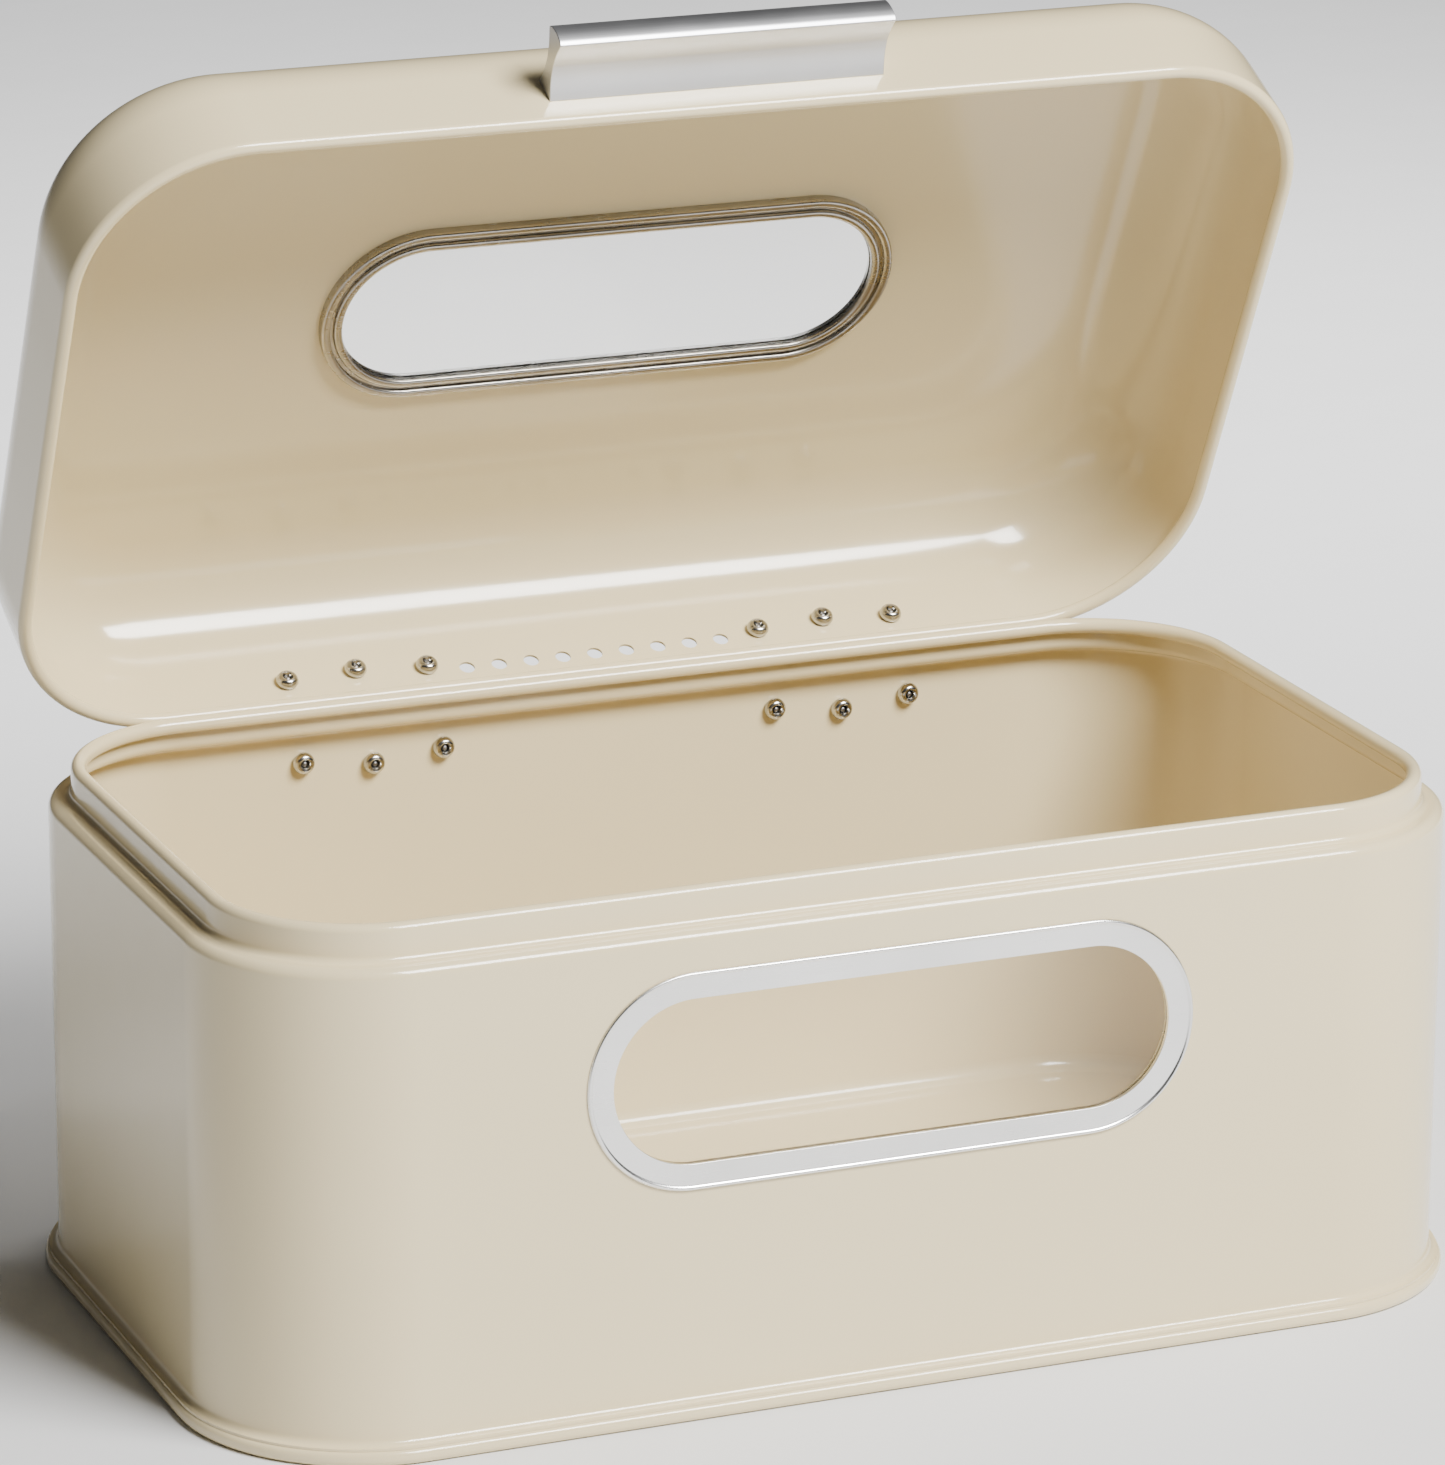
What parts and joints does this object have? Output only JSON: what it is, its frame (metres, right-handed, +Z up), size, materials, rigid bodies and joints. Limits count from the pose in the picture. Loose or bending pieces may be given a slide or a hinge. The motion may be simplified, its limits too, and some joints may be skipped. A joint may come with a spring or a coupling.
{
  "type": "bread box",
  "caption": "Enamelled sheet-steel bread box with rounded corners, a hinged domed lid, oblong clear windows in front and lid, vent holes and a bar handle.",
  "frame": {"origin": "middle of the base, on the surface the box stands on", "axes": "+X to the box's right seen from the front, +Y to the back where the hinges are, +Z up; the front with its window faces -Y; at rest the lid stands 64 degrees open"},
  "size_m": [0.4286, 0.2868, 0.4064],
  "materials": {
    "enamel": "gloss cream powder coat",
    "window_trim": "satin plated",
    "clear_pane": "clear",
    "handle_aluminium": "satin anodised",
    "hinge_steel": "zinc plated",
    "rivet_steel": "bright",
    "mandrel_steel": "plain",
    "screw_steel": "zinc plated"
  },
  "bodies": {
    "box": {"body_shell": "enamel", "base_pan": "enamel", "front_window_frame": "window_trim", "front_window_pane": "clear_pane", "front_window_backing_ring": "window_trim", "left_hinge_body_leaf": "hinge_steel", "left_hinge_pin": "hinge_steel", "left_body_rivets": "rivet_steel", "left_body_rivet_mandrels": "mandrel_steel", "right_hinge_body_leaf": "hinge_steel", "right_hinge_pin": "hinge_steel", "right_body_rivets": "rivet_steel", "right_body_rivet_mandrels": "mandrel_steel"},
    "lid": {"lid_shell": "enamel", "lid_window_frame": "window_trim", "lid_window_pane": "clear_pane", "lid_window_backing_ring": "window_trim", "lid_handle": "handle_aluminium", "lid_handle_screws": "screw_steel", "left_hinge_lid_leaf": "hinge_steel", "left_lid_rivets": "rivet_steel", "left_lid_rivet_mandrels": "mandrel_steel", "right_hinge_lid_leaf": "hinge_steel", "right_lid_rivets": "rivet_steel", "right_lid_rivet_mandrels": "mandrel_steel"}
  },
  "joints": [
    {"name": "lid_hinge", "type": "hinge", "parent": "box", "child": "lid", "pos_m": [0, 0.1236, 0.1589], "axis": [-1, 0, 0], "range_deg": [-64.2, 35.8]}
  ]
}
